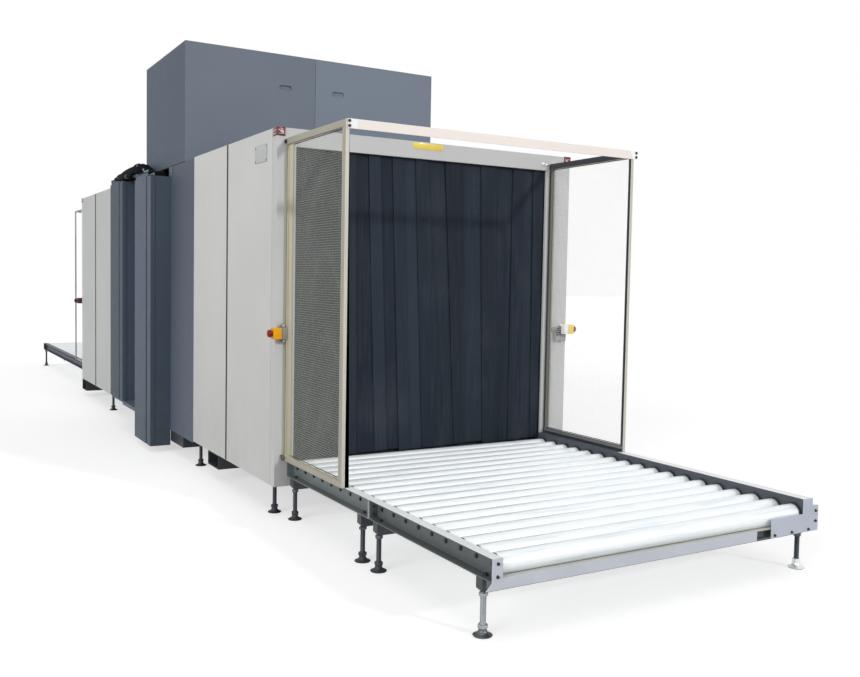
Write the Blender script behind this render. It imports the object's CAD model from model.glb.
import bpy
import bmesh
import math
from mathutils import Matrix, Vector, noise


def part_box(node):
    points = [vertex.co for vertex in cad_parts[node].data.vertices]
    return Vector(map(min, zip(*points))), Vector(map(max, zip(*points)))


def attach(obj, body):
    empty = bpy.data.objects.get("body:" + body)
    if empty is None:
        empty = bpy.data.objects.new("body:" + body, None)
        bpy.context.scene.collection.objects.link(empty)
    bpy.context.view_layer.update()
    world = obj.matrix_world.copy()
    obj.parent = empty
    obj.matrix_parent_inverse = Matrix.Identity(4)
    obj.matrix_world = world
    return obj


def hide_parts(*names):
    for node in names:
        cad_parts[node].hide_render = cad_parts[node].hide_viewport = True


# Pallet-size x-ray inspection tunnel. Places below are in millimetres from the near cabinet's
# lower left corner: x across, y along the tunnel, z above the floor.
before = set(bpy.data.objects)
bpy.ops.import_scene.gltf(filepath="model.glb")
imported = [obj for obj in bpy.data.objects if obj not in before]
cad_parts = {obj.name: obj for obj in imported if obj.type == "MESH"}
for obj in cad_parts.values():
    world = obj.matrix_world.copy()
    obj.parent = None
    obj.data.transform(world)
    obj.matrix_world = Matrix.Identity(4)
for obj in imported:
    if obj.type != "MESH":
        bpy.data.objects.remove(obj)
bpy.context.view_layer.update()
mm = 0.001
faceLow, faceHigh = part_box("near_front_panel")
# width, top, and length over both cabinets
cabinet = {"width": (faceHigh.x - faceLow.x) / mm, "top": 2245,
           "length": (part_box("far_front_panel")[1].y - faceLow.y) / mm}
turnRight = Matrix.Rotation(math.pi / 2, 4, "Y")   # a shape's own Z axis laid along +X
turnLeft = Matrix.Rotation(-math.pi / 2, 4, "Y")   # the same, laid along -X
turnNear = Matrix.Rotation(math.pi / 2, 4, "X")    # the same, laid along -Y
turnFar = Matrix.Rotation(-math.pi / 2, 4, "X")    # the same, laid along +Y
noTurn = Matrix.Identity(4)


def at(x, y, z):
    return Vector((faceLow.x + x * mm, faceLow.y + y * mm, z * mm))


def farSide(y):
    return cabinet["length"] - y


def mirrored(low, high, acrossY, acrossX=False):
    # The same box at the machine's far end, on its right side, or both
    (x0, y0, z0), (x1, y1, z1) = low, high
    if acrossX:
        x0, x1 = cabinet["width"] - x1, cabinet["width"] - x0
    if acrossY:
        y0, y1 = farSide(y1), farSide(y0)
    return (x0, y0, z0), (x1, y1, z1)


def placed(name, data):
    made = bpy.data.objects.new(name, data)
    bpy.context.scene.collection.objects.link(made)
    return made


# The camera: its place, its turn in degrees, its lens in millimetres and its shift
view = {"place": (-1893, -4946.4, 1399.4), "yaw": 30.4287, "pitch": -3.1727, "roll": 1.0577,
        "lens": 38.2575, "sensor": 36, "shift": (0.0026, -0.0101)}


def makeCamera():
    yaw, pitch, roll = (math.radians(view[k]) for k in ("yaw", "pitch", "roll"))
    ahead = Vector((math.sin(yaw) * math.cos(pitch), math.cos(yaw) * math.cos(pitch), math.sin(pitch)))
    level = Vector((math.cos(yaw), -math.sin(yaw), 0))
    above = level.cross(ahead)
    across = level * math.cos(roll) + above * math.sin(roll)
    up = above * math.cos(roll) - level * math.sin(roll)
    lens = bpy.data.cameras.new("camera")
    lens.lens, lens.sensor_width = view["lens"], view["sensor"]
    lens.shift_x, lens.shift_y = view["shift"]
    lens.clip_end = 100
    made = placed("camera", lens)
    axes = Matrix((across, up, -ahead)).transposed().to_4x4()
    made.matrix_world = Matrix.Translation(at(*view["place"])) @ axes
    bpy.context.scene.camera = made


class Wire:  # a shader socket that can be added, multiplied and so on
    def __init__(self, nodes, socket):
        self.nodes, self.socket = nodes, socket

    def maths(self, operation, first, second):
        return self.nodes.add("ShaderNodeMath", {"operation": operation}, first, second)

    def __add__(self, other):
        return self.maths("ADD", self, other)

    def __radd__(self, other):
        return self.maths("ADD", other, self)

    def __sub__(self, other):
        return self.maths("SUBTRACT", self, other)

    def __rsub__(self, other):
        return self.maths("SUBTRACT", other, self)

    def __mul__(self, other):
        return self.maths("MULTIPLY", self, other)

    def __rmul__(self, other):
        return self.maths("MULTIPLY", other, self)

    def largest(self, other):
        return self.maths("MAXIMUM", self, other)


class Nodes:  # a node tree, built up node by node
    def __init__(self, tree):
        self.tree = tree

    def add(self, kind, settings, *values, output=0, **named):
        node = self.tree.nodes.new(kind)
        for key, value in settings.items():
            setattr(node, key, value)
        for index, value in enumerate(values):
            self.feed(node.inputs[index], value)
        for key, value in named.items():
            self.feed(node.inputs[key], value)
        return Wire(self, node.outputs[output])

    def feed(self, socket, value):
        if isinstance(value, Wire):
            self.tree.links.new(value.socket, socket)
        elif value is not None:
            if socket.type == "RGBA" and len(value) == 3:
                value = (*value, 1)
            socket.default_value = value

    def seen(self):  # 1 for what the camera sees, directly or in metal and glass
        rays = [self.add("ShaderNodeLightPath", {}, output="Is %s Ray" % kind)
                for kind in ("Camera", "Glossy", "Transmission")]
        return rays[0].largest(rays[1]).largest(rays[2])


class Finish(Nodes):  # one material
    def __init__(self, roughness=0.5, metallic=0.0, coat=0.0, specular=0.5):
        self.material = bpy.data.materials.new("finish")
        self.material.use_nodes = True
        super().__init__(self.material.node_tree)
        self.shader = self.tree.nodes["Principled BSDF"]
        for name, value in (("Roughness", roughness), ("Metallic", metallic), ("Coat Weight", coat),
                            ("Coat Roughness", 0.12), ("Specular IOR Level", specular)):
            self.shader.inputs[name].default_value = value
        self.place = self.add("ShaderNodeTexCoord", {}, output="Object")

    def noise(self, scale, detail=3, stretch=None):
        place = self.place
        if stretch:
            place = self.add("ShaderNodeMapping", {}, self.place, Scale=stretch)
        return self.add("ShaderNodeTexNoise", {}, place, Scale=scale, Detail=detail)

    def bands(self, direction, scale):
        settings = {"wave_type": "BANDS", "bands_direction": direction}
        return self.add("ShaderNodeTexWave", settings, self.place, Scale=scale)

    def axis(self, name):
        return self.add("ShaderNodeSeparateXYZ", {}, self.place, output=name)

    def band(self, value, low, high):  # 0 at low, rising smoothly to 1 at high
        return self.add("ShaderNodeMapRange", {"interpolation_type": "SMOOTHSTEP"}, value, low, high)

    def mix(self, factor, first, second):  # a Mix node's colours are its inputs 6 and 7
        unused = [None] * 5
        return self.add("ShaderNodeMix", {"data_type": "RGBA"}, factor, *unused, first, second, output=2)

    def use(self, colour, roughness, height, depth, strength):
        bump = self.add("ShaderNodeBump", {}, Strength=strength, Distance=depth, Height=height)
        for name, value in (("Base Color", colour), ("Roughness", roughness), ("Normal", bump)):
            self.feed(self.shader.inputs[name], value)
        return self.material


def shade(colour, share):
    return tuple(min(1, c * share) for c in colour)


def sprayed(colour, roughness=0.42, grain=700, depth=0.0004, dust=0.0, specular=0.3, low=1.0, high=1.0):
    # Powder coat: fine orange peel, slow drift of tone, a little floor dust low down;
    # low and high are its tone at the floor and at the top of the cabinet
    f = Finish(specular=specular)
    fine = f.noise(grain, 2)
    tone = f.mix(f.band(f.noise(1.7, 4), 0.3, 0.7), shade(colour, 0.965), shade(colour, 1.02))
    tone = f.mix(f.band(fine, 0.35, 0.75) * 0.10, tone, shade(colour, 1.25))
    scuffs = f.band(f.noise(26, 6, (1, 1, 0.3)), 0.66, 0.74) * 0.12
    tone = f.mix(scuffs, tone, shade(colour, 0.72))
    if low != high:
        rise = low + (high - low) * f.band(f.axis("Z"), 0.1, 2.3)
        tone = f.add("ShaderNodeVectorMath", {"operation": "SCALE"}, tone, Scale=rise)
    if dust:
        settled = (1 - f.band(f.axis("Z"), 0.18, 0.75)) * f.band(f.noise(9, 5), 0.35, 0.75)
        tone = f.mix(settled * dust, tone, (0.30, 0.28, 0.25))
    return f.use(tone, roughness + 0.10 * f.noise(14, 4) + 0.06 * fine, fine, depth, 0.35)


def slate(colour, roughness=0.46, **more):
    # The dark covers' coat is coarser and duller
    return sprayed(colour, roughness, grain=520, depth=0.0006, specular=0.15, **more)


def worn(colour, bare, roughness=0.42, metallic=0.0, wear=0.4, grain=160):
    # Painted steel with rubbed spots that show through
    f = Finish(metallic=metallic)
    spots = f.band(f.noise(grain, 5), 0.62, 0.72) * f.band(f.noise(6, 3), 0.42, 0.62)
    tone = f.mix(f.noise(5, 3), shade(colour, 0.86), shade(colour, 1.12))
    tone = f.mix(spots * wear, tone, bare)
    return f.use(tone, roughness + 0.16 * f.noise(30, 4) - 0.1 * spots, f.noise(650, 2), 0.0004, 0.4)


def brushed(colour, roughness, metallic=1.0, stretch=None, streak=0.10):
    # Metal with fine lines; stretch is smallest along the axis they run on
    f = Finish(metallic=metallic)
    lines = f.noise(60, 4, stretch)
    cloud = f.noise(7, 4)
    tone = f.mix(lines, shade(colour, 1 - streak), shade(colour, 1 + streak))
    tone = f.mix(f.band(cloud, 0.45, 0.8) * 0.15, tone, shade(colour, 0.82))
    return f.use(tone, roughness + 0.14 * lines + 0.10 * cloud, lines, 0.0003, 0.3)


def moulded(colour, roughness=0.4, coat=0.0, specular=0.5):
    # Moulded plastic or rubber
    f = Finish(coat=coat, specular=specular)
    cloud = f.noise(35, 4)
    tone = f.mix(cloud, shade(colour, 0.88), shade(colour, 1.1))
    return f.use(tone, roughness + 0.12 * cloud, f.noise(900, 2), 0.0002, 0.3)


def curtainRubber():
    # Lead rubber: each strip has its own tone, with dusty scuffs that run down it
    f = Finish(specular=0.15)
    tone = f.add("ShaderNodeAttribute", {"attribute_name": "tone"}, output="Fac")
    streaks = f.noise(9, 6, (7, 1, 0.35))
    smears = f.band(f.noise(3.2, 7, (1.6, 1, 0.8)), 0.48, 0.72)
    low = 1 - f.band(f.axis("Z"), 0.35, 1.0)
    colour = f.mix(tone, (0.0058, 0.0092, 0.0150), (0.0300, 0.0440, 0.0640))
    colour = f.mix(f.band(streaks, 0.42, 0.78) * 0.30, colour, (0.045, 0.056, 0.072))
    colour = f.mix(smears * (0.16 + 0.20 * low), colour, (0.054, 0.063, 0.074))
    grain = f.noise(420, 3)
    return f.use(colour, 0.52 + 0.22 * streaks + 0.08 * grain, grain * 0.35 + streaks, 0.0015, 0.35)


def rollerZinc():
    # Zinc-plated tube: turned rings, long bright rub lines and a faint milky bloom
    f = Finish(metallic=0.30)
    rings = f.noise(190, 3, (1, 0.02, 0.02))
    bloom = f.band(f.noise(6, 6, (1, 2, 2)), 0.4, 0.75)
    marks = f.band(f.noise(11, 6, (0.25, 5, 5)), 0.52, 0.72)
    colour = f.mix(rings, (0.83, 0.87, 0.89), (0.93, 0.95, 0.96))
    colour = f.mix(bloom * 0.35, colour, (0.72, 0.80, 0.84))
    colour = f.mix(marks * 0.40, colour, (0.52, 0.64, 0.70))
    return f.use(colour, 0.30 + 0.16 * bloom + 0.10 * rings, rings, 0.0002, 0.25)


def beltWeave():
    f = Finish()
    cloth = f.bands("X", 180.0) * f.bands("Y", 180.0)
    dust = f.band(f.noise(4, 6, (1, 0.2, 1)), 0.4, 0.75)
    colour = f.mix(cloth, (0.018, 0.020, 0.023), (0.045, 0.049, 0.054))
    colour = f.mix(dust * 0.35, colour, (0.10, 0.10, 0.10))
    return f.use(colour, 0.62 + 0.15 * dust, cloth, 0.0006, 0.5)


def caseLid():
    # The chain case's lid is pale, but dark where the guard stands on it
    f = Finish()
    pale = f.band(f.axis("Y"), at(0, -790, 0).y, at(0, -804, 0).y)
    tone = f.mix(f.noise(5, 3), (0.80, 0.81, 0.83), (0.93, 0.94, 0.95))
    fine = f.noise(650, 2)
    return f.use(f.mix(pale, (0.070, 0.078, 0.092), tone), 0.36 + 0.12 * fine, fine, 0.0004, 0.4)


def lampGlass():
    f = Finish(coat=0.15)
    ribs = f.bands("Z", 60.0)
    colour = f.mix(ribs, (0.060, 0.006, 0.006), (0.190, 0.018, 0.016))
    return f.use(colour, 0.14 + 0.10 * ribs, ribs, 0.0006, 0.4)


def hoseRubber():
    f = Finish(specular=0.08)
    cloud = f.noise(40, 4)
    colour = f.mix(cloud, (0.002, 0.003, 0.004), (0.008, 0.009, 0.011))
    return f.use(colour, 0.7 + 0.2 * cloud, f.noise(500, 2), 0.0003, 0.4)


print("finishes")
linesAcross, linesAlong, linesUp = (0.05, 1, 1), (1, 0.06, 1), (1, 1, 0.06)
paints = {
    # sprayed covers
    "cover": sprayed((0.6, 0.605, 0.59), 0.36, dust=0.1, low=0.93),
    "farCover": sprayed((0.451, 0.461, 0.459), 0.36, dust=0.1),
    "face": sprayed((0.53, 0.533, 0.532), 0.34, dust=0.08),
    "liner": sprayed((0.19, 0.205, 0.22), 0.5),
    "inner": sprayed((0.3, 0.32, 0.34), 0.45),
    "roof": slate((0.07, 0.092, 0.1285)),
    "roofFront": slate((0.15, 0.177, 0.22)),
    "roofRight": slate((0.178, 0.21, 0.262)),
    "fold": slate((0.1, 0.124, 0.16)),
    "shell": slate((0.08, 0.1, 0.132), dust=0.06, low=1.25, high=0.97),
    "column": slate((0.0686, 0.0895, 0.1275), 0.44, dust=0.06, low=0.9, high=1.1),
    "columnNear": slate((0.08, 0.106, 0.14), 0.44, dust=0.06, low=0.9, high=1.1),
    "farColumn": slate((0.038, 0.054, 0.08), 0.44, dust=0.06),
    "farColumnNear": slate((0.088, 0.116, 0.16), 0.44, dust=0.06),
    # painted steel
    "base": worn((0.022, 0.024, 0.028), (0.12, 0.12, 0.12), 0.45, wear=0.25),
    "bed": worn((0.15, 0.17, 0.172), (0.42, 0.45, 0.45), 0.4, wear=0.6),
    "flange": worn((0.93, 0.96, 0.97), (0.72, 0.74, 0.75), 0.36, wear=0.5),
    "bedOuter": worn((0.098, 0.112, 0.115), (0.24, 0.26, 0.26), wear=0.5),
    "jointSteel": worn((0.09, 0.105, 0.108), (0.22, 0.24, 0.24)),
    "farBed": worn((0.048, 0.06, 0.082), (0.16, 0.18, 0.2), 0.44),
    "beam": worn((0.045, 0.052, 0.058), (0.2, 0.2, 0.2), 0.45, wear=0.25),
    "beamTop": worn((0.5, 0.5, 0.46), (0.62, 0.62, 0.6)),
    "beamFront": worn((0.285, 0.3, 0.35), (0.66, 0.67, 0.7), 0.36, wear=0.3),
    "lip": worn((0.036, 0.043, 0.043), (0.16, 0.17, 0.17)),
    "caseWall": worn((0.062, 0.07, 0.088), (0.2, 0.2, 0.22)),
    "caseLid": caseLid(),
    "endPlate": worn((0.505, 0.53, 0.59), (0.8, 0.81, 0.84), 0.36, wear=0.3),
    "cornerPlate": worn((0.45, 0.49, 0.57), (0.64, 0.66, 0.7), 0.36, wear=0.3),
    "footCast": worn((0.03, 0.034, 0.04), (0.22, 0.22, 0.22), 0.42, 0.2, 0.5),
    "bolt": worn((0.03, 0.033, 0.037), (0.35, 0.35, 0.36), 0.35, 0.5, 0.7, 300),
    "mount": worn((0.2, 0.235, 0.275), (0.5, 0.52, 0.54), 0.4, wear=0.5),
    # bare and plated metal
    "guard": brushed((0.46, 0.416, 0.293), 0.36, 0.25, linesUp),
    "guardFront": brushed((0.53, 0.5, 0.44), 0.34, 0.25, linesUp),
    "guardSide": brushed((0.38, 0.36, 0.295), 0.4, 0.15, linesUp),
    "guardInner": brushed((0.03, 0.036, 0.046), 0.42, 0.1, linesUp),
    "guardLow": brushed((0.125, 0.125, 0.1), 0.42, 0.15, linesAlong),
    "guardDusk": brushed((0.17, 0.18, 0.175), 0.42, 0.1, linesAlong),
    "farRail": brushed((0.28, 0.3, 0.31), 0.4, 0.15, linesUp),
    "crossbar": brushed((0.9, 0.82, 0.77), 0.38, 0.0, linesAcross, 0.04),
    "glare": brushed((0.97, 0.97, 0.96), 0.4, 0.0, linesAcross, 0.02),
    "wire": brushed((0.54, 0.56, 0.486), 0.5, 0.1),
    "wireRight": brushed((0.9, 0.9, 0.94), 0.5, 0.0),
    "meshFrame": brushed((0.3, 0.29, 0.24), 0.4, 0.2, (1, 1, 0.1)),
    "bracket": brushed((0.15, 0.152, 0.13), 0.4, 0.1, (1, 1, 0.1)),
    "bracketRight": brushed((0.02, 0.022, 0.024), 0.5, 0.0, (1, 1, 0.1)),
    "bracketFoot": brushed((0.24, 0.25, 0.25), 0.5, 0.0, (1, 1, 0.1)),
    "plate": brushed((0.48, 0.49, 0.49), 0.36, 0.1, (1, 0.05, 1)),
    "drum": brushed((0.62, 0.63, 0.64), 0.34, stretch=(1, 0.05, 0.05)),
    "chain": brushed((0.2, 0.19, 0.18), 0.38, 0.9),
    "chrome": brushed((0.9, 0.91, 0.92), 0.1, 0.9),
    "screw": brushed((0.72, 0.73, 0.74), 0.25),
    "stem": brushed((0.085, 0.095, 0.11), 0.34, 0.7),
    "dullSteel": brushed((0.42, 0.44, 0.44), 0.34, 0.5),
    "galvanised": brushed((0.36, 0.385, 0.4), 0.34, 0.8, streak=0.3),
    "galvanisedBell": brushed((0.115, 0.125, 0.132), 0.24, 0.8, streak=0.5),
    "brightCast": brushed((0.8, 0.82, 0.83), 0.22, 0.6, streak=0.2),
    "roller": rollerZinc(),
    # plastic and rubber
    "amber": moulded((0.78, 0.345, 0.004), specular=0.15),
    "paleAmber": moulded((1.0, 0.7, 0.05), specular=0.15),
    "wine": moulded((0.1, 0.035, 0.03)),
    "oliveBase": moulded((0.21, 0.205, 0.165), coat=0.1),
    "paleBase": moulded((0.9, 0.9, 0.9), coat=0.1),
    "darkBase": moulded((0.03, 0.03, 0.03), 0.5),
    "collar": moulded((0.3, 0.11, 0.004), 0.35),
    "button": moulded((0.23, 0.01, 0.005), 0.36, specular=0.2),
    "darkButton": moulded((0.1, 0.01, 0.01), specular=0.2),
    "lamp": lampGlass(),
    "lampLine": moulded((0.66, 0.42, 0.42), 0.3, 0.3),
    "lampBase": moulded((0.06, 0.055, 0.05), coat=0.1),
    "yellow": moulded((0.8, 0.61, 0.08), coat=0.2),
    "plateEdge": moulded((0.1, 0.1, 0.11), 0.5),
    "seal": moulded((0.03, 0.03, 0.028), 0.7),
    "pad": moulded((0.012, 0.012, 0.013), 0.6),
    "cap": moulded((0.02, 0.022, 0.025), 0.45),
    "cuff": moulded((0.11, 0.105, 0.09), 0.5, specular=0.2),
    "hose": hoseRubber(),
    "rubber": curtainRubber(),
    "belt": beltWeave(),
}
for key, material in paints.items():
    material.name = key


# Shapes that several pieces share
def saved(bm, name="shape"):
    mesh = bpy.data.meshes.new(name)
    bm.to_mesh(mesh)
    bm.free()
    return mesh


def piece(name, bm, finishes, replaced=(), body="machine", crease=38):
    mesh = saved(bm, name)
    for finish in finishes if isinstance(finishes, list) else [finishes]:
        mesh.materials.append(paints[finish])
    if crease:
        mesh.shade_smooth()
        mesh.set_sharp_from_angle(angle=math.radians(crease))
    made = placed(name, mesh)
    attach(made, body)
    if replaced:
        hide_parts(*replaced)
    return made


def stamp(bm, shape, place=Vector(), turn=noTurn, stretch=(1, 1, 1), material=None):
    # Adds a copy of a finished shape
    move = Matrix.Translation(place) @ turn.to_4x4() @ Matrix.Diagonal((*stretch, 1))
    copy = shape.copy()
    copy.transform(move)
    if move.determinant() < 0:
        copy.flip_normals()
    if material is not None:
        copy.polygons.foreach_set("material_index", [material] * len(copy.polygons))
    bm.from_mesh(copy)
    bpy.data.meshes.remove(copy)


def roundEdges(bm, edges, width, segments=2, clamp=True):
    return bmesh.ops.bevel(bm, geom=edges, offset=width * mm, offset_type="OFFSET", segments=segments,
                           profile=0.5, affect="EDGES", clamp_overlap=clamp, material=-1)["faces"]


def keenEdges(bm, angle=30):
    return [e for e in bm.edges if len(e.link_faces) == 2 and e.calc_face_angle() > math.radians(angle)]


def turnOut(bm):
    bmesh.ops.recalc_face_normals(bm, faces=bm.faces)


def vertsOf(result):
    return [g for g in result["geom"] if isinstance(g, bmesh.types.BMVert)]


def painted(bm, material):
    for face in bm.faces:
        face.material_index = material
    return saved(bm)


def block(low, high, width=0, segments=2, material=0):
    # A finished block between two corners in millimetres, its edges rounded
    bm = bmesh.new()
    cube = bmesh.ops.create_cube(bm, size=1)["verts"]
    a, b = Vector(low) * mm, Vector(high) * mm
    bmesh.ops.scale(bm, vec=b - a, verts=cube)
    bmesh.ops.translate(bm, vec=(a + b) / 2, verts=cube)
    if width:
        roundEdges(bm, list(bm.edges), width, segments)
    return painted(bm, material)


def bar(bm, low, high, width=0, segments=2, material=0):
    stamp(bm, block(low, high, width, segments, material), at(0, 0, 0))


def flatPlate(outline, y0, y1, material, width=0.0):
    # A plate drawn by its outline in X and Z
    bm = bmesh.new()
    face = bm.faces.new([bm.verts.new((x * mm, y0 * mm, z * mm)) for x, z in outline])
    grown = vertsOf(bmesh.ops.extrude_face_region(bm, geom=[face]))
    bmesh.ops.translate(bm, vec=(0, (y1 - y0) * mm, 0), verts=grown)
    turnOut(bm)
    if width:
        roundEdges(bm, keenEdges(bm, 60), width)
    return painted(bm, material)


def turned(outline, steps, closed=False):
    # Spins an outline of radius and height, in millimetres, round Z
    bm = bmesh.new()
    verts = [bm.verts.new((r * mm, 0, h * mm)) for r, h in outline]
    edges = [bm.edges.new(pair) for pair in zip(verts, verts[1:] + verts[:1] if closed else verts[1:])]
    bmesh.ops.spin(bm, geom=verts + edges, cent=(0, 0, 0), axis=(0, 0, 1), angle=2 * math.pi,
                   steps=steps, use_merge=True, use_duplicate=False)
    bmesh.ops.remove_doubles(bm, verts=bm.verts, dist=0.000002)
    turnOut(bm)
    return saved(bm)


def welded(node):
    bm = bmesh.new()
    bm.from_mesh(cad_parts[node].data)
    bmesh.ops.remove_doubles(bm, verts=bm.verts, dist=0.00002)
    return bm


def islands(node):
    # Each separate solid of a CAD node as its lowest and highest corner
    bm = welded(node)
    left, found = set(bm.verts), []
    while left:
        reach, corners = [left.pop()], []
        while reach:
            vert = reach.pop()
            corners.append(vert.co.copy())
            near = {e.other_vert(vert) for e in vert.link_edges} & left
            left -= near
            reach += near
        found.append([Vector([pick(c[i] for c in corners) for i in range(3)]) for pick in (min, max)])
    bm.free()
    return sorted(found, key=lambda pair: tuple(pair[0]))


def softenAll(slot, width, *rows):
    # Copies of CAD nodes, welded, with their sharp edges rounded over. A row's last item, where it
    # has four, picks each face's finish from its place and direction
    for node, name, finishes, *pick in rows:
        bm = welded(node)
        bmesh.ops.dissolve_limit(bm, angle_limit=math.radians(0.5), verts=bm.verts, edges=bm.edges)
        for face in bm.faces if pick else ():
            face.material_index = pick[0](face.calc_center_median(), face.normal)
        for face in roundEdges(bm, keenEdges(bm), width, clamp=False):
            face.smooth = True
        piece(name, bm, finishes, [node], crease=0)


def rightOf(x):
    return lambda centre, normal: int(centre.x > x)


def facesNear(centre, normal):
    return int(normal.y < -0.7)


middleX, middleY = at(cabinet["width"] / 2, 0, 0).x, at(0, cabinet["length"] / 2, 0).y
makeCamera()
print("covers")
softenAll("cover_paint", 1.4,
          ("near_front_panel", "nearFace", "face"), ("far_front_panel", "farFace", "face"),
          ("near_left_panels", "nearLeftCovers", "cover"), ("far_left_panels", "farLeftCovers", "farCover"),
          ("cover_panels", "otherCovers", "cover"))
softenAll("slate_paint", 1.2, ("centre_shell", "centreShell", "shell"))
softenAll("slate_paint", 1.4, ("roof_housing", "roofHousing", "roof"))
roofSeam = 1042  # where the two roof panels meet, along x
softenAll("slate_paint", 1.0,
          ("roof_panels", "roofPanels", ["roofFront", "roofRight"], rightOf(at(roofSeam, 0, 0).x)),
          ("column_near", "nearEnclosure", ["column", "columnNear"], facesNear),
          ("column_far", "farEnclosure", ["farColumn", "farColumnNear"], facesNear))
softenAll("base_paint", 1.5, ("base_frame", "baseFrame", "base"))


def makeSeals():
    # Dark seals that close the gaps between neighbouring covers
    bm = bmesh.new()
    w, top, length = cabinet["width"], cabinet["top"], cabinet["length"]
    for y in (72, 876, 1643, length - 1643, length - 821, length - 72):
        for x0, x1 in ((4, 12), (w - 12, w - 4)):
            bar(bm, (x0, y - 5, 184), (x1, y + 5, top - 4), 0.8)
        bar(bm, (12, y - 5, top - 12), (w - 12, y + 5, top - 4), 0.8)
    # the wide ones stand proud of the covers
    for y in (876, length - 821):
        for x0, x1 in ((-5, 6), (w - 6, w + 5)):
            bar(bm, (x0, y - 7, 186), (x1, y + 7, top - 3), 2)
    # a dark strip under the roof's edge and a paler fold where the shell meets it
    bar(bm, (-1.5, 1889, 2236), (1, 3073, 2244.5), 0.5)
    bar(bm, (-3, 2224, 2160), (1, 2325, 2236), 0.8, material=1)
    piece("coverSeals", bm, ["seal", "fold"])


makeSeals()
print("beds")
# seam, frontBeam and frontFace are places along y, and seamHalf is half the seam's width
bed = {"seam": -1057.5, "seamHalf": 6.2, "frontBeam": -2060, "frontFace": -2100,
       # heights: the rubbed flanges, the seam and the case's lid lie above theirs, the beams and lips below
       "flange": 333, "seamLow": 240, "caseLid": 333.5, "beam": 238.5, "lip": 244.5, "frontTop": (250, 260)}


def bedParts(centre, normal):
    # Index in bedFinishes, from the face's place and direction
    y, z = (centre.y - faceLow.y) / mm, centre.z / mm
    inFront, facesUp = y < bed["frontBeam"], normal.z > 0.9
    if facesUp and z > bed["flange"]:
        return 2
    if abs(y - bed["seam"]) < bed["seamHalf"] and z > bed["seamLow"]:
        return 3
    if z < bed["beam"]:
        if normal.y < -0.9 and y < bed["frontFace"]:
            return 6
        return 0 if inFront else 1
    if inFront and facesUp and bed["frontTop"][0] < z < bed["frontTop"][1]:
        return 4
    return 5 if abs(normal.x) > 0.9 and z < bed["lip"] else 0


bedFinishes = ["bed", "beam", "flange", "endPlate", "beamTop", "lip", "beamFront"]
softenAll("bed_paint", 1.2, ("near_bed_inner", "innerBed", bedFinishes, bedParts),
          ("near_bed_outer", "outerBed", ["bedOuter", *bedFinishes[1:]], bedParts),
          ("far_bed_frame", "farBed", "farBed"))
softenAll("bed_paint", 0.8, ("near_chain_case", "chainCase", ["caseWall", "caseLid"],
                             lambda centre, normal: int(centre.z > bed["caseLid"] * mm)))
softenAll("end_plates", 1.0, ("near_end_plates", "endPlates", ["endPlate", "cornerPlate"], rightOf(middleX)))

print("guards")
guardFinishes = ["guard", "guardSide", "guardInner", "guardFront", "guardLow", "guardDusk"]
# heights below which the lower rails' tops and sides lie, and a place between the front and back posts
guard = {"railTop": 410, "railSide": 403, "posts": -700}


def guardParts(centre, normal):
    # Index in guardFinishes, from the face's place and direction
    right, z = centre.x > middleX, centre.z / mm
    if right and z < guard["railTop"] and normal.z > 0.5:
        return 2
    if z < guard["railSide"] and abs(normal.z) < 0.5:
        return 5 if right and normal.x <= -0.7 else 4
    if normal.x < -0.7:
        return 2 if right else 1
    if normal.y < -0.7:
        if centre.y < at(0, guard["posts"], 0).y:
            return 3
        return 4 if right else 0
    return 0


def makeClamps():
    # Dark end clamps of the left rails, chrome screws by the right post and glaring ends of the crossbar
    bm = bmesh.new()
    bar(bm, (43, -18, 2156), (55.5, -3, 2176), 1.5)
    bar(bm, (38, -24, 338), (57, -3, 366), 1.5, material=1)
    bar(bm, (36, -20, 352), (44, -6, 370), 1.5)
    chrome = block((-8, -7, -8), (8, 0, 8), 4, 3, 2)
    for x, z in ((1887, 2184), (1913, 2179)):
        stamp(bm, chrome, at(x, 0, z))
    bar(bm, (1878, -2.5, 2170), (1940, 0, 2192), 0.8, material=3)
    bar(bm, (1937.2, -796, 386), (1938.2, -16, 401), 0.3, material=5)
    for lowLeft, highLeft, right in ((66.5, 66.5, 117), (1949, 1926, 1980.5)):
        outline = [(lowLeft, 2139.5), (right, 2139.5), (right, 2187.5), (highLeft, 2187.5)]
        stamp(bm, flatPlate(outline, -797.7, -796.9, 4), at(0, 0, 0))
    piece("railEnds", bm, ["cap", "guardLow", "chrome", "plate", "glare", "guardDusk"])


makeClamps()
softenAll("guard_paint", 1.6, ("near_guard_frame", "nearGuard", guardFinishes, guardParts))
softenAll("guard_paint", 0.8, ("far_guard_frame", "farGuard", "farRail"))
softenAll("crossbar_paint", 1.2, ("near_crossbar", "nearCrossbar", "crossbar"))

for node, finish in (("tunnel_liner", "liner"), ("tunnel_belt", "belt"), ("drum_near", "drum"),
                     ("drum_far", "drum"), ("xray_generator", "inner"), ("detector_array", "inner"),
                     ("electronics_rack", "inner"), ("roller_chain", "chain"), ("roller_axles", "stem")):
    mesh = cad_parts[node].data
    mesh.materials.clear()
    mesh.materials.append(paints[finish])

print("rollers")
rollerLow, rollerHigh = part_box("near_roller_01")
rollers = {"radius": (rollerHigh.z - rollerLow.z) / 2 / mm, "tube": 1771, "wall": 3.2, "capSet": 3,
           "hub": 17, "bore": 8.7, "steps": 56, "farSteps": 36, "endGap": 0.5, "sprocketAt": 1780.5,
           "collarX": 1884.6, "nodes": ["near_roller_%02d" % number for number in range(1, 19)]}


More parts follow.
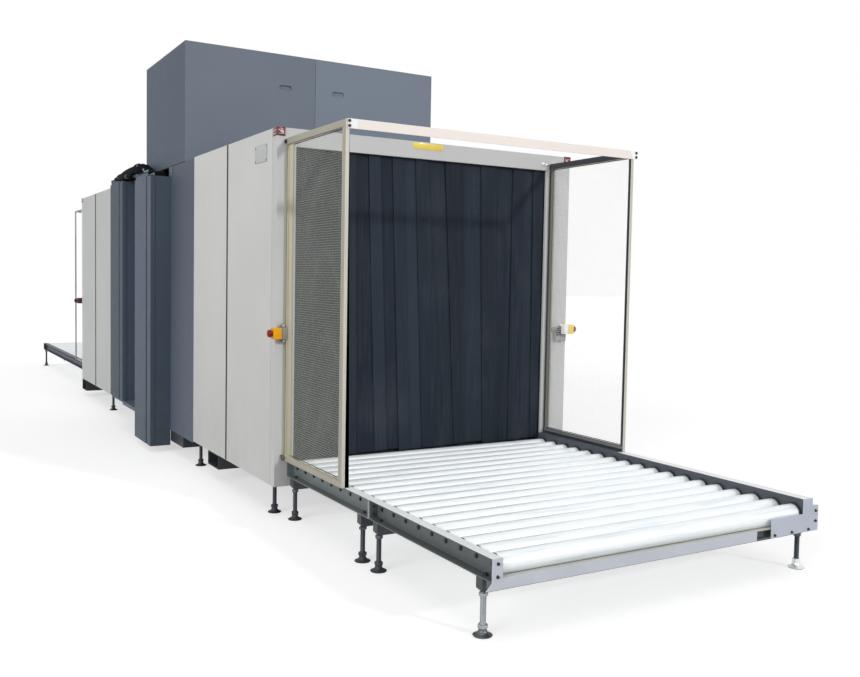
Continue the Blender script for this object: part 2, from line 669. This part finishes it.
def rollerShape(length, steps):
    # The tube with its two end caps, which stand back from its rims
    r, cap, hub, bore = rollers["radius"], rollers["capSet"], rollers["hub"], rollers["bore"]
    inner = r - rollers["wall"]
    end = [(bore, -0.5), (hub - 1.5, -0.5), (hub, 0.6), (hub, cap), (inner, cap), (inner, 0.8),
           (inner + 0.8, 0), (r - 1.0, 0), (r, 1.0)]
    other = [(radius, length - height) for radius, height in reversed(end)]
    shape = turned(end + other, steps, closed=True)
    for face in shape.polygons:
        face.material_index = int(face.center.xy.length <= (inner - 1.0) * mm)
    return shape


def sprocketShape(teeth=15, low=27, high=31, thick=8):
    bm = bmesh.new()
    rim = bmesh.ops.create_circle(bm, cap_ends=True, segments=teeth * 4, radius=low * mm)["verts"]
    for index, vert in enumerate(rim):
        if index % 4 in (1, 2):
            vert.co *= high / low
    grown = vertsOf(bmesh.ops.extrude_face_region(bm, geom=bm.faces[:]))
    bmesh.ops.translate(bm, vec=(0, 0, thick * mm), verts=grown)
    turnOut(bm)
    return saved(bm)


def axisOf(low, high):
    # The left end of a roller's axis
    return Vector((low.x, *(low + high).yz / 2))


def makeRollers():
    tube, sprocket = rollerShape(rollers["tube"], rollers["steps"]), sprocketShape()
    bore = rollers["bore"]
    hub = turned([(bore, 0), (20, 0), (20, 15), (19, 16), (bore, 16)], 32, closed=True)
    for number, node in enumerate(rollers["nodes"], 1):
        bm = bmesh.new()
        for shape, x, turn, material in (
                (tube, rollers["endGap"], Matrix.Rotation(number * 2.4, 4, "X") @ turnRight, None),
                (hub, rollers["tube"] + 2 * rollers["endGap"], turnRight, 2),
                (sprocket, rollers["sprocketAt"], turnRight, 2)):
            stamp(bm, shape, axisOf(*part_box(node)) + Vector((x * mm, 0, 0)), turn, material=material)
        piece("roller%02d" % number, bm, ["roller", "cap", "chain"], [node], "roller_%02d" % number)


def makeFarRollers():
    bm = bmesh.new()
    solids = islands("far_rollers")
    low, high = solids[0]
    shape = rollerShape((high.x - low.x) / mm - 2 * rollers["endGap"], rollers["farSteps"])
    for index, corners in enumerate(solids):
        stamp(bm, shape, axisOf(*corners) + Vector((rollers["endGap"] * mm, 0, 0)),
              Matrix.Rotation(index * 1.9, 4, "X") @ turnRight)
    piece("farRollers", bm, ["roller", "cap"], ["far_rollers"])


makeRollers()
makeFarRollers()

print("feet")
feet = {"pad": 38, "padThick": 3, "stem": 12.5, "threadFrom": 46, "threadDeep": 1.1, "pitch": 3.0,
        "steps": 20, "nut": 21.5, "nutHeight": 16, "nutAt": 38.5, "topNutSet": 11, "topNutSize": 0.9,
        "bellTop": 30, "frontPair": -2000,
        "bell": [(0, 2), (38.5, 2), (40, 3), (40, 4.6), (38.6, 5.8), (33, 8), (27, 11), (22, 15), (18.5, 20),
                 (17.4, 24), (17.4, 28), (16, 30), (0, 30)],
        "finishes": ["footCast", "stem", "pad", "galvanised", "brightCast", "galvanisedBell"]}


def footShape(height):
    s, pitch, start = feet["stem"], feet["pitch"], feet["threadFrom"]
    pad, thick, radius, size = feet["pad"], feet["padThick"], feet["nut"] * mm, feet["topNutSize"]
    bm, nut = bmesh.new(), bmesh.new()
    stamp(bm, turned([(0, 0), (pad, 0), (pad, thick), (0, thick)], 40), material=2)
    stamp(bm, turned(feet["bell"], 40))
    bmesh.ops.create_cone(nut, cap_ends=True, segments=6, radius1=radius, radius2=radius,
                          depth=feet["nutHeight"] * mm)
    roundEdges(nut, keenEdges(nut, 70), 1.6)
    nut = saved(nut)
    stamp(bm, nut, Vector((0, 0, feet["nutAt"] * mm)))
    top = Vector((0, 0, (height - feet["topNutSet"]) * mm))
    stamp(bm, nut, top, stretch=(size, size, size), material=1)
    rows, z = [(0, start), (s, start)], start + 2
    while z < height - pitch:
        rows += [(s, z), (s - feet["threadDeep"], z + pitch / 2)]
        z += pitch
    stamp(bm, turned(rows + [(s, height), (0, height)], feet["steps"]), material=1)
    return saved(bm)


def makeFeet(node, name):
    bm = bmesh.new()
    shapes = {}
    for low, high in islands(node):
        height = round(high.z / mm)
        if height not in shapes:
            shapes[height] = footShape(high.z / mm)
        foot, spot = shapes[height].copy(), (low + high) / 2
        turn = Matrix.Rotation(spot.y * 3, 4, "Z")
        # the front pair is galvanised: all over on the left, only the bell and lower nut on the right
        if spot.y < at(0, feet["frontPair"], 0).y:
            right = spot.x > middleX
            turn = noTurn if right else turn
            for face in foot.polygons:
                if not right:
                    face.material_index = 5 if face.center.z < feet["bellTop"] * mm else 3
                elif face.material_index == 0:
                    face.material_index = 4
        stamp(bm, foot, Vector((spot.x, spot.y, 0)), turn)
    piece(name, bm, feet["finishes"], [node], crease=32)


makeFeet("cabinet_feet", "cabinetFeet")
makeFeet("bed_feet", "bedFeet")

print("bolts")


def boltShape():
    # A hex head on a washer, one metre across and one metre high, to be scaled down
    bm, head = bmesh.new(), bmesh.new()
    stamp(bm, turned([(0, 0), (500, 0), (500, 160), (470, 200), (0, 200)], 20))
    bmesh.ops.create_cone(head, cap_ends=True, segments=6, radius1=0.43, radius2=0.43, depth=0.8)
    roundEdges(head, [e for e in keenEdges(head, 70) if all(v.co.z > 0 for v in e.verts)], 70)
    stamp(bm, saved(head), Vector((0, 0, 0.6)))
    return saved(bm)


def makeBolts():
    bm = bmesh.new()
    turns = ((turnLeft, turnRight), (turnNear, turnFar), (noTurn, noTurn))
    for low, high in islands("fasteners"):
        size, spot = high - low, (low + high) / 2
        twist = Matrix.Rotation(spot.y * 7, 4, "Z")
        # a head is flattest along its axis, and points away from the machine's middle or up
        flat = min(range(3), key=lambda i: size[i])
        beyond = spot[flat] >= (middleX, middleY, 0)[flat]
        spot[flat] = (low if beyond else high)[flat]
        stamp(bm, bolt, spot, turns[flat][beyond] @ twist, (max(size), max(size), size[flat]))
    piece("bolts", bm, "bolt", ["fasteners"], crease=30)


bolt = boltShape()
makeBolts()

print("curtains")
curtain = {
    "top": 2192, "bottom": 324, "left": 120.5, "right": 1915.5, "front": 24, "back": 31.5, "thick": 2.6,
    "lap": 17, "rows": 44, "columns": 8,
    # where each strip's left edge is at the top and at the bottom, and its tone
    "seams": [(121, 121, 0.36), (252, 262, 0.22), (384, 408, 0.40), (508, 540, 0.18), (592, 664, 0.52),
              (670, 748, 0.24), (753, 833, 0.46), (824, 913, 0.60), (915, 1001, 0.30), (999, 1160, 0.34),
              (1130, 1240, 0.22), (1270, 1315, 0.42), (1402, 1460, 0.26), (1530, 1571, 0.36),
              (1659, 1662, 0.20), (1741, 1761, 0.44), (1823, 1847, 0.28), (1915, 1915, 0)],
    # the clamp rail that the strips hang from, behind the header
    "rail": [((119, 38, 2150), (1917, 44, 2190)), ((119, 20, 2190), (1917, 44, 2194))],
}


def makeCurtain(name, node, isFar):
    bm = bmesh.new()
    tone = bm.verts.layers.float.new("tone")
    seams, total, length = curtain["seams"], 0, curtain["top"] - curtain["bottom"]
    for index, ((topLeft, lowLeft, strip), (topRight, lowRight, _)) in enumerate(zip(seams, seams[1:])):
        front = index % 2 == 0
        depth = curtain["front"] if front else curtain["back"]
        lap = 0 if front else curtain["lap"]
        columns, rows = curtain["columns"], curtain["rows"]
        sheet = bmesh.ops.create_grid(bm, x_segments=columns, y_segments=rows, size=0.5)
        for vert in sheet["verts"]:
            u, v = vert.co.x + 0.5, vert.co.y + 0.5
            drop = 1 - v
            left = max(lowLeft + (topLeft - lowLeft) * v - lap, curtain["left"])
            right = min(lowRight + (topRight - lowRight) * v + lap, curtain["right"])
            x = left + (right - left) * u
            sway = noise.noise(Vector((index * 3.1, drop * 2.3, 0.4))) * 2.2 * drop
            fold = noise.noise(Vector((x * 0.011, drop * 1.3, index * 7.7))) * 1.6
            bow = (4 * u * (1 - u) - 0.5) * (1.8 if front else -1.2) * (0.35 + 0.65 * drop)
            y = depth + sway + fold - bow
            z = curtain["bottom"] + length * v + (index * 37 % 17) * drop
            vert.co = at(x, farSide(y) if isFar else y, z)
            vert[tone] = strip + 0.10 * noise.noise(Vector((index * 5.3, v * 1.7, 2.2)))
        total += (topRight - topLeft + lowRight - lowLeft) / 2 + 2 * lap
    turnOut(bm)
    bmesh.ops.solidify(bm, geom=bm.faces[:], thickness=curtain["thick"] * mm)
    made = piece(name, bm, "rubber", [node], crease=50)
    total * mm
    bm = bmesh.new()
    for low, high in curtain["rail"]:
        bar(bm, *mirrored(low, high, isFar), 0.8)
    piece(name + "Rail", bm, "inner")


makeCurtain("nearCurtain", "near_curtain", False)
makeCurtain("farCurtain", "far_curtain", True)

print("guard mesh")
# for each panel: its place, the finish of its wires, and its upright edge strips, each with
# whether it is at the near end, its width and its finish
wires = {"pitch": 12.7, "radius": 0.48, "frameThick": 2.5, "frameSet": 2.2, "hem": 5, "panels": [
    (78, -772, -52, 367, 2150, 0, ((False, 7, 0), (True, 7, 0))),
    (1960, -772, -22, 403, 2151, 1, ((True, 8, 1), (False, 4, 0)))]}


def makeMesh():
    # Woven wires, five-sided, with a flat strip along each edge of a panel
    wireBm, frameBm, unit = bmesh.new(), bmesh.new(), bmesh.new()
    bmesh.ops.create_cone(unit, cap_ends=True, segments=5, radius1=1, radius2=1, depth=1)
    wire, thin = saved(unit), wires["radius"] * mm
    for x, y0, y1, z0, z1, material, strips in wires["panels"]:
        across, along = z1 - z0, y1 - y0
        rows, columns = int(across / wires["pitch"]), int(along / wires["pitch"])
        for i in range(1, columns):
            middle = at(x, y0 + along * i / columns, (z0 + z1) / 2)
            stamp(wireBm, wire, middle, stretch=(thin, thin, across * mm), material=material)
        for i in range(1, rows):
            middle = at(x + 1.5, (y0 + y1) / 2, z0 + across * i / rows)
            stamp(wireBm, wire, middle, turnNear, (thin, thin, along * mm), material)
        a = x + wires["frameSet"]
        b = a + wires["frameThick"]
        for isNear, edge, finish in strips:
            first = y0 if isNear else y1 - edge
            bar(frameBm, (a, first, z0), (b, first + edge, z1), 0.4, material=finish)
        for low in (z0, z1 - wires["hem"]):
            bar(frameBm, (a, y0, low), (b, y1, low + wires["hem"]), 0.4, material=1)
    bar(frameBm, (56.2, -772, 367), (58.6, -751, 2149), 0.4, material=2)
    made = piece("guardMesh", wireBm, ["wire", "wireRight"], ["guard_mesh"], crease=80)
    made.visible_shadow = False
    piece("meshFrames", frameBm, ["meshFrame", "guardInner", "guardSide"])


makeMesh()

print("stop boxes")
stopBox = {
    "base": 34, "cover": 50, "half": (30, 32.5), "plateX": (-8, 30), "plateY": (11, 14), "plateZ": 54.5,
    "corner": 9, "height": 1075,
    "collar": [(11.5, 0), (19, 0), (19, 0.6), (18.4, 1.2), (11.5, 1.2)],
    "head": [(0, -18), (11, -18), (11, 7), (18.4, 7.2), (21.2, 8.8), (22, 11.6), (22, 17), (21, 20.4),
             (18.6, 23.4), (14, 26), (7, 27.6), (0, 28)],
    "finishes": ["amber", "oliveBase", "bracket", "cap", "chrome", "collar", "paleAmber", "paleBase",
                 "bracketRight", "wine", "darkBase", "bracketFoot", "dullSteel"],
    # where each box is, which way it faces across and along, its button's finish, and the finishes
    # that differ from the first box's
    "places": {
        "near_left": ((51, -35), (-1, 1), "button", {4: 12}),
        "near_right": ((2055, -35), (1, 1), "button", {0: 6, 1: 7, 2: 8, 4: 8}),
        "far_left": ((51, farSide(-150)), (-1, -1), "darkButton", {0: 9, 1: 10, 4: 3, 5: 9}),
        "far_right": ((2055, farSide(-150)), (1, -1), "darkButton", {0: 9, 1: 10, 4: 3, 5: 9}),
    },
}
# one millimetre across, to be scaled up
screwShape = turned([(0, 0), (0.5, 0), (0.5, 0.35), (0.38, 0.62), (0.2, 0.75), (0, 0.78)], 16)


def stopBoxShape():
    # Faces +X with its back at X = 0
    bm = bmesh.new()
    base, cover, (halfY, halfZ) = stopBox["base"], stopBox["cover"], stopBox["half"]
    (x0, x1), z, c = stopBox["plateX"], stopBox["plateZ"], stopBox["corner"]
    stamp(bm, flatPlate([(x0, c - z), (x0 + c, -z), (x1 - c, -z), (x1, c - z), (x1, z - c), (x1 - c, z),
                         (x0 + c, z), (x0, z - c)], *stopBox["plateY"], 2, 0.6))
    ring = turned([(5.6, 0), (8.2, 0), (8.2, 1.4), (7.4, 2.2), (5.6, 2.2)], 24, closed=True)
    for side in (-1, 1):
        spot = Vector(((x0 + x1) / 2, stopBox["plateY"][0], side * (z - 11))) * mm
        stamp(bm, ring, spot, turnNear, material=4)
        stamp(bm, bolt, spot, turnNear, (0.013, 0.013, 0.006), 4)
    stamp(bm, block((0, -halfY, -halfZ), (base, halfY, halfZ), 2.5, 3, 1))
    stamp(bm, block((base - 2, 1 - halfY, 1 - halfZ), (base + 1, halfY - 1, halfZ - 1), 0.8, 2, 3))
    shell = bmesh.new()
    shell.from_mesh(block((base + 1, 0.5 - halfY, 0.5 - halfZ), (base + cover, halfY - 0.5, halfZ - 0.5)))
    front = [e for e in shell.edges if all(v.co.x > base * mm + 0.02 for v in e.verts)]
    roundEdges(shell, front, 11, 4)
    roundEdges(shell, keenEdges(shell, 60), 2.5, 3)
    stamp(bm, saved(shell), material=0)
    collar = turned(stopBox["collar"], 32, closed=True)
    stamp(bm, collar, Vector(((base + cover - 0.4) * mm, 0, 0)), turnRight, material=5)
    for y in (-20, 20):
        for z in (-22, 22):
            stamp(bm, screwShape, Vector((base + cover - 1, y, z)) * mm, turnRight, (5, 5, 2), 2)
    return saved(bm)


def makeStopBoxes():
    bm = bmesh.new()
    boxShape, headShape = stopBoxShape(), turned(stopBox["head"], 48)
    reach = (stopBox["base"] + stopBox["cover"]) * mm
    for key, ((x, y), (flipX, flipY), finish, recolour) in stopBox["places"].items():
        spot, flip = at(x, y, stopBox["height"]), Matrix.Diagonal((flipX, flipY, 1, 1))
        box = bmesh.new()
        box.from_mesh(boxShape)
        for face in box.faces:
            face.material_index = recolour.get(face.material_index, face.material_index)
        if key == "near_right":  # its plate and bolts are the bracket's, below
            bmesh.ops.delete(box, geom=[f for f in box.faces if f.material_index == 8], context="FACES")
        stamp(bm, saved(box), spot, flip)
        head = bmesh.new()
        stamp(head, headShape, spot + Vector((flipX * reach, 0, 0)), flip @ turnRight)
        piece("stopButton_" + key, head, finish, ["estop_" + key], "stop_button_" + key)
    # the brackets: one behind the near right box, and two arms and two feet at the far end
    y0, y1 = farSide(-14), farSide(-150)
    for low, high in (((1969, -24, 1060), (2052, -21, 1090)),
                      ((51, y0, 1060), (54, y1, 1090)), ((2052, y0, 1060), (2055, y1, 1090)),
                      ((51, y0, 1060), (61, y0 + 3, 1090)), ((1969, y0, 1060), (2055, y0 + 3, 1090))):
        bar(bm, low, high, 0.6, material=2)
    for outline, finish in (
            ([(2011, 1031), (2097, 1031), (2090, 1086), (2083, 1096), (2034, 1097), (2013, 1068)], 8),
            ([(2009, 994), (2093, 993), (2097, 1030), (2011, 1030)], 11)):
        stamp(bm, flatPlate(outline, -27, -24, finish, 0.6), at(0, 0, 0))
    piece("stopBoxes", bm, stopBox["finishes"], ["estop_boxes"])


makeStopBoxes()

print("fittings")
# a cap that wraps the cabinet's upper corner: a dark foot with a red lens over it
lampCap = [((-2.5, -2.5, 2197), (50, 64, 2201), 0.8, 1), ((-3, -6, 2201), (49, 1.5, 2240), 3.0, 0),
           ((-3, 0, 2201), (2.5, 65, 2240), 2.0, 0), ((-3, -6, 2235), (49, 65, 2247.5), 2.0, 0),
           ((22, -6.6, 2213), (40, -5.4, 2224), 0.4, 2)]
for z0, z1 in ((2227, 2230.5), (2207, 2210)):  # pale lines across the lens
    lampCap += [((6, -6.6, z0), (43, -5.4, z1), 0.4, 2), ((-3.6, 8, z0), (-2.4, 58, z1), 0.4, 2)]


def makeLampCaps():
    bm = bmesh.new()
    for isRight in (False, True):
        for isFar in (False, True):
            for low, high, width, material in lampCap:
                bar(bm, *mirrored(low, high, isFar, isRight), width, 3, material)
    piece("cornerLamps", bm, ["lamp", "lampBase", "lampLine"], ["face_fittings"])


def makePlates():
    # A yellow plate on each header, and the blank name plate on the left side
    bm = bmesh.new()
    for isFar in (False, True):
        low, high = mirrored((884, -1.5, 2200), (1100, 0, 2239), isFar)
        bar(bm, low, high, 0.5)
        y, turn = (high[1], turnFar) if isFar else (low[1], turnNear)
        for x in (891, 1093):
            stamp(bm, screwShape, at(x, y, 2219.5), turn, (6, 6, 2.5), 1)
    piece("headerPlates", bm, ["yellow", "screw"])
    bm = bmesh.new()
    bar(bm, (-2, 158, 2068), (-0.5, 357, 2168), 0.5)
    for y in (168, 347):
        for z in (2078, 2158):
            stamp(bm, screwShape, at(-2, y, z), turnLeft, (9, 9, 3), 2)
    bar(bm, (-1.0, 156.5, 2066.5), (-0.2, 358.5, 2169.5), 0.3, material=1)
    piece("namePlate", bm, ["plate", "plateEdge", "bolt"])


makeLampCaps()
makePlates()

print("hoses")
hoses = {
    # heights are above the cabinet's top
    "route": [(-85, 3700, -44), (-85, 3700, -38), (-85, 3697, -22), (-85, 3688, -8), (-85, 3674, 1),
              (-85, 3658, 4), (-86, 3560, 8), (-87, 3400, 14), (-88, 3250, 21), (-88, 3100, 28),
              (-88, 2950, 34), (-88, 2890, 34), (-87, 2840, 26), (-85, 2795, 8), (-82, 2752, -16),
              (-78, 2705, -36), (-68, 2645, -46), (-48, 2600, -49), (-22, 2568, -49), (8, 2540, -49),
              (45, 2510, -49)],
    "radius": 16, "ridge": 2.0, "pitch": 9, "sides": 12, "cuffs": (0.16, 0.34, 0.50, 0.62),
    "cuff": [(16, -14), (20.5, -14), (21, -13), (21, 13), (20.5, 14), (16, 14)],
    # each strand's place across and above the route, and then loose ones that sag between its two ends
    "strands": [(-40, -13), (-4, -15), (30, -13), (-24, 16), (14, 18), (44, 14)],
    "sagging": [(-52, -40), (-10, -44), (24, -36), (-34, -16), (40, -18)],
    "sagFrom": 3640, "sagLength": 900,
    # the bars that carry the bundle on the two enclosures
    "brackets": [((-113, 2540, 2220), (-107, 3025, 2232)), ((-113, 2690, 2232), (-107, 2750, 2255)),
                 ((-113, 2350, 2180), (-107, 2575, 2191)), ((-112, 2556, 2158), (-108, 2574, 2222)),
                 ((-112, 2836, 2158), (-108, 2852, 2222)), ((-112, 2352, 2158), (-108, 2366, 2182)),
                 ((-60, 3730, 2198), (-46, 3790, 2212)), ((-110, 3740, 2198), (-100, 3772, 2216))],
}


def smoothRoute(points, step):
    # Evenly spaced points along a smooth curve through the given ones
    fine = []
    for i in range(len(points) - 1):
        p0, p1 = points[max(i - 1, 0)], points[i]
        p2, p3 = points[i + 1], points[min(i + 2, len(points) - 1)]
        for k in range(20):
            t = k / 20
            fine.append(0.5 * (2 * p1 + (p2 - p0) * t + (2 * p0 - 5 * p1 + 4 * p2 - p3) * t * t
                               + (3 * p1 - p0 - 3 * p2 + p3) * t ** 3))
    fine.append(points[-1])
    even, gone = [fine[0]], 0
    for a, b in zip(fine, fine[1:]):
        gone += (b - a).length
        if gone >= step:
            even.append(b)
            gone = 0
    return even


def carried(path):
    # The heading, side and upper direction at each point, carried along without twisting
    side, axes = Vector((1, 0, 0)), []
    for i in range(len(path)):
        ahead = (path[min(i + 1, len(path) - 1)] - path[max(i - 1, 0)]).normalized()
        side = (side - ahead * side.dot(ahead)).normalized()
        axes.append((ahead, side, ahead.cross(side)))
    return axes


def sweep(bm, path, sides, radiusAt):
    # A tube made by pushing a ring of edges from point to point
    moves = [Matrix.Translation(point) @ Matrix((side, above, ahead)).transposed().to_4x4()
             for point, (ahead, side, above) in zip(path, carried(path))]
    ring = bmesh.ops.create_circle(bm, cap_ends=True, segments=sides, radius=radiusAt(0))["verts"]
    bmesh.ops.transform(bm, matrix=moves[0], verts=ring)
    edges = list({e for v in ring for e in v.link_edges})
    for i in range(1, len(path)):
        grown = bmesh.ops.extrude_edge_only(bm, edges=edges)
        edges = [g for g in grown["geom"] if isinstance(g, bmesh.types.BMEdge)]
        resize = Matrix.Scale(radiusAt(i) / radiusAt(i - 1), 4)
        bmesh.ops.transform(bm, matrix=moves[i] @ resize @ moves[i - 1].inverted(), verts=vertsOf(grown))
    bmesh.ops.contextual_create(bm, geom=edges)


def strandPath(middle, index, across, above, sags):
    # One strand's points beside the bundle's middle, each strand with its own slow wander
    path = []
    for i, (point, (_, side, up)) in enumerate(zip(middle, carried(middle))):
        loose = min(1, i / 30, (len(middle) - i) / 60)
        sway = noise.noise(Vector((i * 0.03, index * 4.2, 1))) * 14 * loose
        lift = noise.noise(Vector((i * 0.03, index * 2.7, 5))) * 9 * loose
        gone = (at(0, hoses["sagFrom"], 0).y - point.y) / (hoses["sagLength"] * mm)
        if sags and not 0.02 < gone < 0.98:
            continue
        drop = above * math.sin(math.pi * gone) ** 0.6 if sags else above + abs(lift)
        path.append(point + side * (across + sway) * mm + up * drop * mm)
    return path


def makeHoses():
    bm = bmesh.new()
    route = [at(x, y, cabinet["top"] + z) for x, y, z in hoses["route"]]
    middle = smoothRoute(route, hoses["pitch"] / 2 * mm)
    cuff = turned(hoses["cuff"], 24, closed=True)
    strands = hoses["strands"]
    for index, (across, above) in enumerate(strands + hoses["sagging"]):
        path = strandPath(middle, index, across, above, index >= len(strands))
        sweep(bm, path, hoses["sides"], lambda i: (hoses["radius"] + (hoses["ridge"] if i % 2 else 0)) * mm)
        spot = int(len(path) * hoses["cuffs"][index % 4] * (1 - 0.05 * (index // 4)))
        ahead, side, up = carried(path)[spot]
        stamp(bm, cuff, path[spot], Matrix((side, up, ahead)).transposed(), material=1)
    turnOut(bm)
    for low, high in hoses["brackets"]:
        bar(bm, low, high, 1.5, material=2)
    piece("hoses", bm, ["hose", "cuff", "mount"], ["hose_bundle"], crease=75)


makeHoses()

print("small parts of the beds")


def makeJointAngles():
    bm = bmesh.new()
    y = bed["seam"]
    for x0, x1 in ((79, 122), (1958, 2001)):
        bar(bm, (x0, y - 11, 246), (x1, y - 5.5, 328), 0.8)
        bar(bm, (x0, y - 32, 244.5), (x1, y - 11, 249), 0.8)
    piece("jointAngles", bm, "jointSteel")


def makeCollars():
    # Dark half rings where the near rollers run into the chain case
    arc, bm, r = bmesh.new(), bmesh.new(), rollers["radius"]
    corners = ((0, r + 1.5), (0, r + 6), (12, r + 6), (12, r + 1.5))
    face = arc.faces.new([arc.verts.new((x * mm, y * mm, 0)) for x, y in corners])
    bmesh.ops.spin(arc, geom=[*face.verts, *face.edges, face], cent=(0, 0, 0), axis=(1, 0, 0), angle=math.pi,
                   steps=16, use_merge=False, use_duplicate=False)
    turnOut(arc)
    ring = saved(arc)
    for node in rollers["nodes"]:
        spot = axisOf(*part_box(node))
        spot.x = at(rollers["collarX"], 0, 0).x
        stamp(bm, ring, spot)
    piece("rollerCollars", bm, "cap")


makeJointAngles()
makeCollars()

print("stage and lamps")
studio = {"floor": 60, "ambient": 0.42, "suns": [
    # heading, strength and spread in degrees
    ("keyLamp", (-0.425, 1, -0.488), 1.05, 4),
    ("leftLamp", (1, 0.45, -0.40), 1.45, 30),
    ("topLamp", (0.1, 0.2, -1), 0.5, 40)]}


def makeStage():
    bm = bmesh.new()
    bmesh.ops.create_grid(bm, x_segments=1, y_segments=1, size=studio["floor"])
    floor = placed("floor", saved(bm, "floor"))
    f = Finish(roughness=0.9, specular=0.1)
    f.material.name = "floorFinish"
    f.feed(f.shader.inputs["Base Color"], (0.55, 0.55, 0.55))
    f.feed(f.shader.inputs["Emission Color"], f.mix(f.seen(), (0, 0, 0), (0.57, 0.57, 0.57)))
    f.shader.inputs["Emission Strength"].default_value = 1
    floor.data.materials.append(f.material)


def makeSky():
    # White where the camera sees it, and dimmer as the light that falls on the object
    world = bpy.data.worlds.new("studio")
    bpy.context.scene.world = world
    world.use_nodes = True
    sky = Nodes(world.node_tree)
    back = sky.tree.nodes["Background"]
    level = sky.add("ShaderNodeMapRange", {}, sky.seen(), 0.0, 1.0, studio["ambient"], 1.0)
    sky.feed(back.inputs["Strength"], level)
    sky.feed(back.inputs["Color"], (1, 1, 1))


def makeLamps():
    for name, heading, strength, spread in studio["suns"]:
        lamp = bpy.data.lights.new(name, "SUN")
        lamp.energy, lamp.angle = strength, math.radians(spread)
        made = placed(name, lamp)
        made.rotation_mode = "QUATERNION"
        made.rotation_quaternion = Vector(heading).to_track_quat("-Z", "Y")


makeStage()
makeSky()
makeLamps()
bpy.context.scene.view_settings.view_transform = "Standard"
